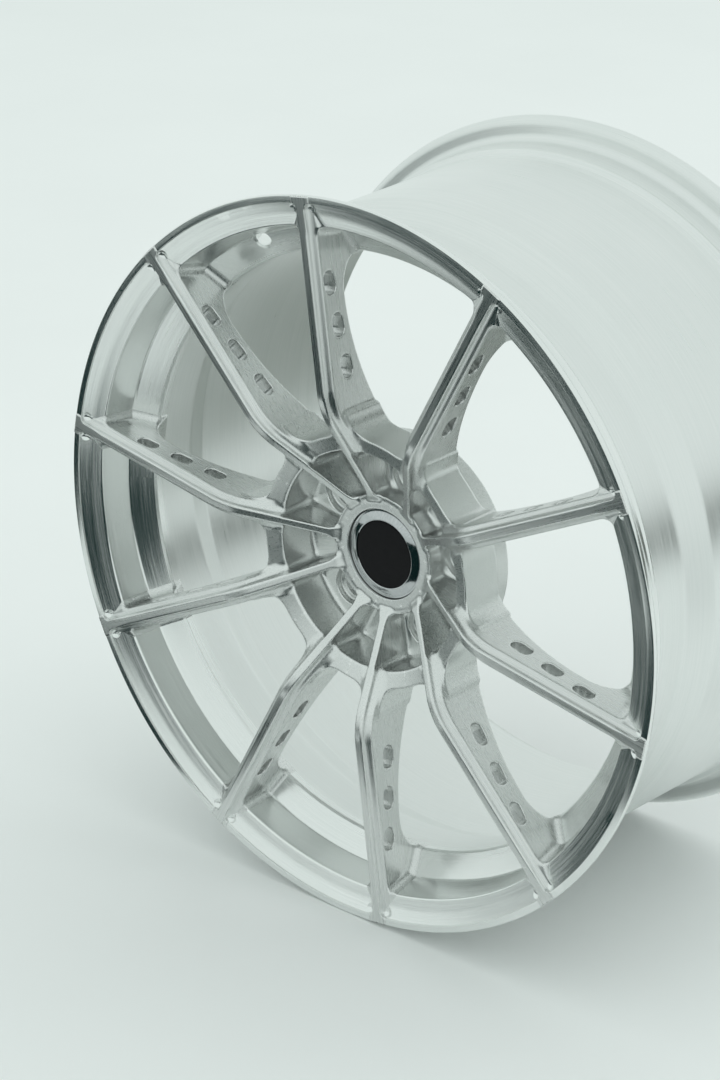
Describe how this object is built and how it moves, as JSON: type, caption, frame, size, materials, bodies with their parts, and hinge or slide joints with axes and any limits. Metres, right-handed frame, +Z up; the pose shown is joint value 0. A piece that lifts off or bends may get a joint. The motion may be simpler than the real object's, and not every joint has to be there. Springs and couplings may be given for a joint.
{
  "type": "wheel rim",
  "caption": "Forged alloy wheel rim with slim slotted spokes in mirrored pairs, a deep dished hub, open windows, an empty valve hole and a bevelled push-in centre cap.",
  "frame": {"origin": "the wheel's centre: on the axle line, half way between the front and rear flange edges", "axes": "+Y along the axle toward the rear (the car's side), +Z up; the spoked face looks toward -Y"},
  "size_m": [0.5175, 0.26, 0.5176],
  "materials": {
    "forged_alloy": "brushed, clear",
    "bezel": "polished",
    "disc": "gloss",
    "clip": "moulded",
    "wire": "drawn wire",
    "gasket": "matte"
  },
  "bodies": {
    "rim": {"front_flange": "forged_alloy", "front_seat": "forged_alloy", "valve_sector": "forged_alloy", "drop_well": "forged_alloy", "barrel": "forged_alloy", "rear_seat": "forged_alloy", "rear_flange": "forged_alloy", "hub_spider": "forged_alloy", "hub_pad": "forged_alloy", "spoke_01": "forged_alloy", "spoke_02": "forged_alloy", "spoke_03": "forged_alloy", "spoke_04": "forged_alloy", "spoke_05": "forged_alloy", "spoke_06": "forged_alloy", "spoke_07": "forged_alloy", "spoke_08": "forged_alloy", "spoke_09": "forged_alloy", "spoke_10": "forged_alloy"},
    "cap": {"cap_bezel": "bezel", "cap_disc": "disc", "cap_body": "clip", "cap_spring": "wire", "cap_seal": "gasket"}
  },
  "joints": [
    {"name": "cap_pull", "type": "slide", "parent": "rim", "child": "cap", "axis": [0, -1, 0], "range_m": [0, 0.09]}
  ]
}
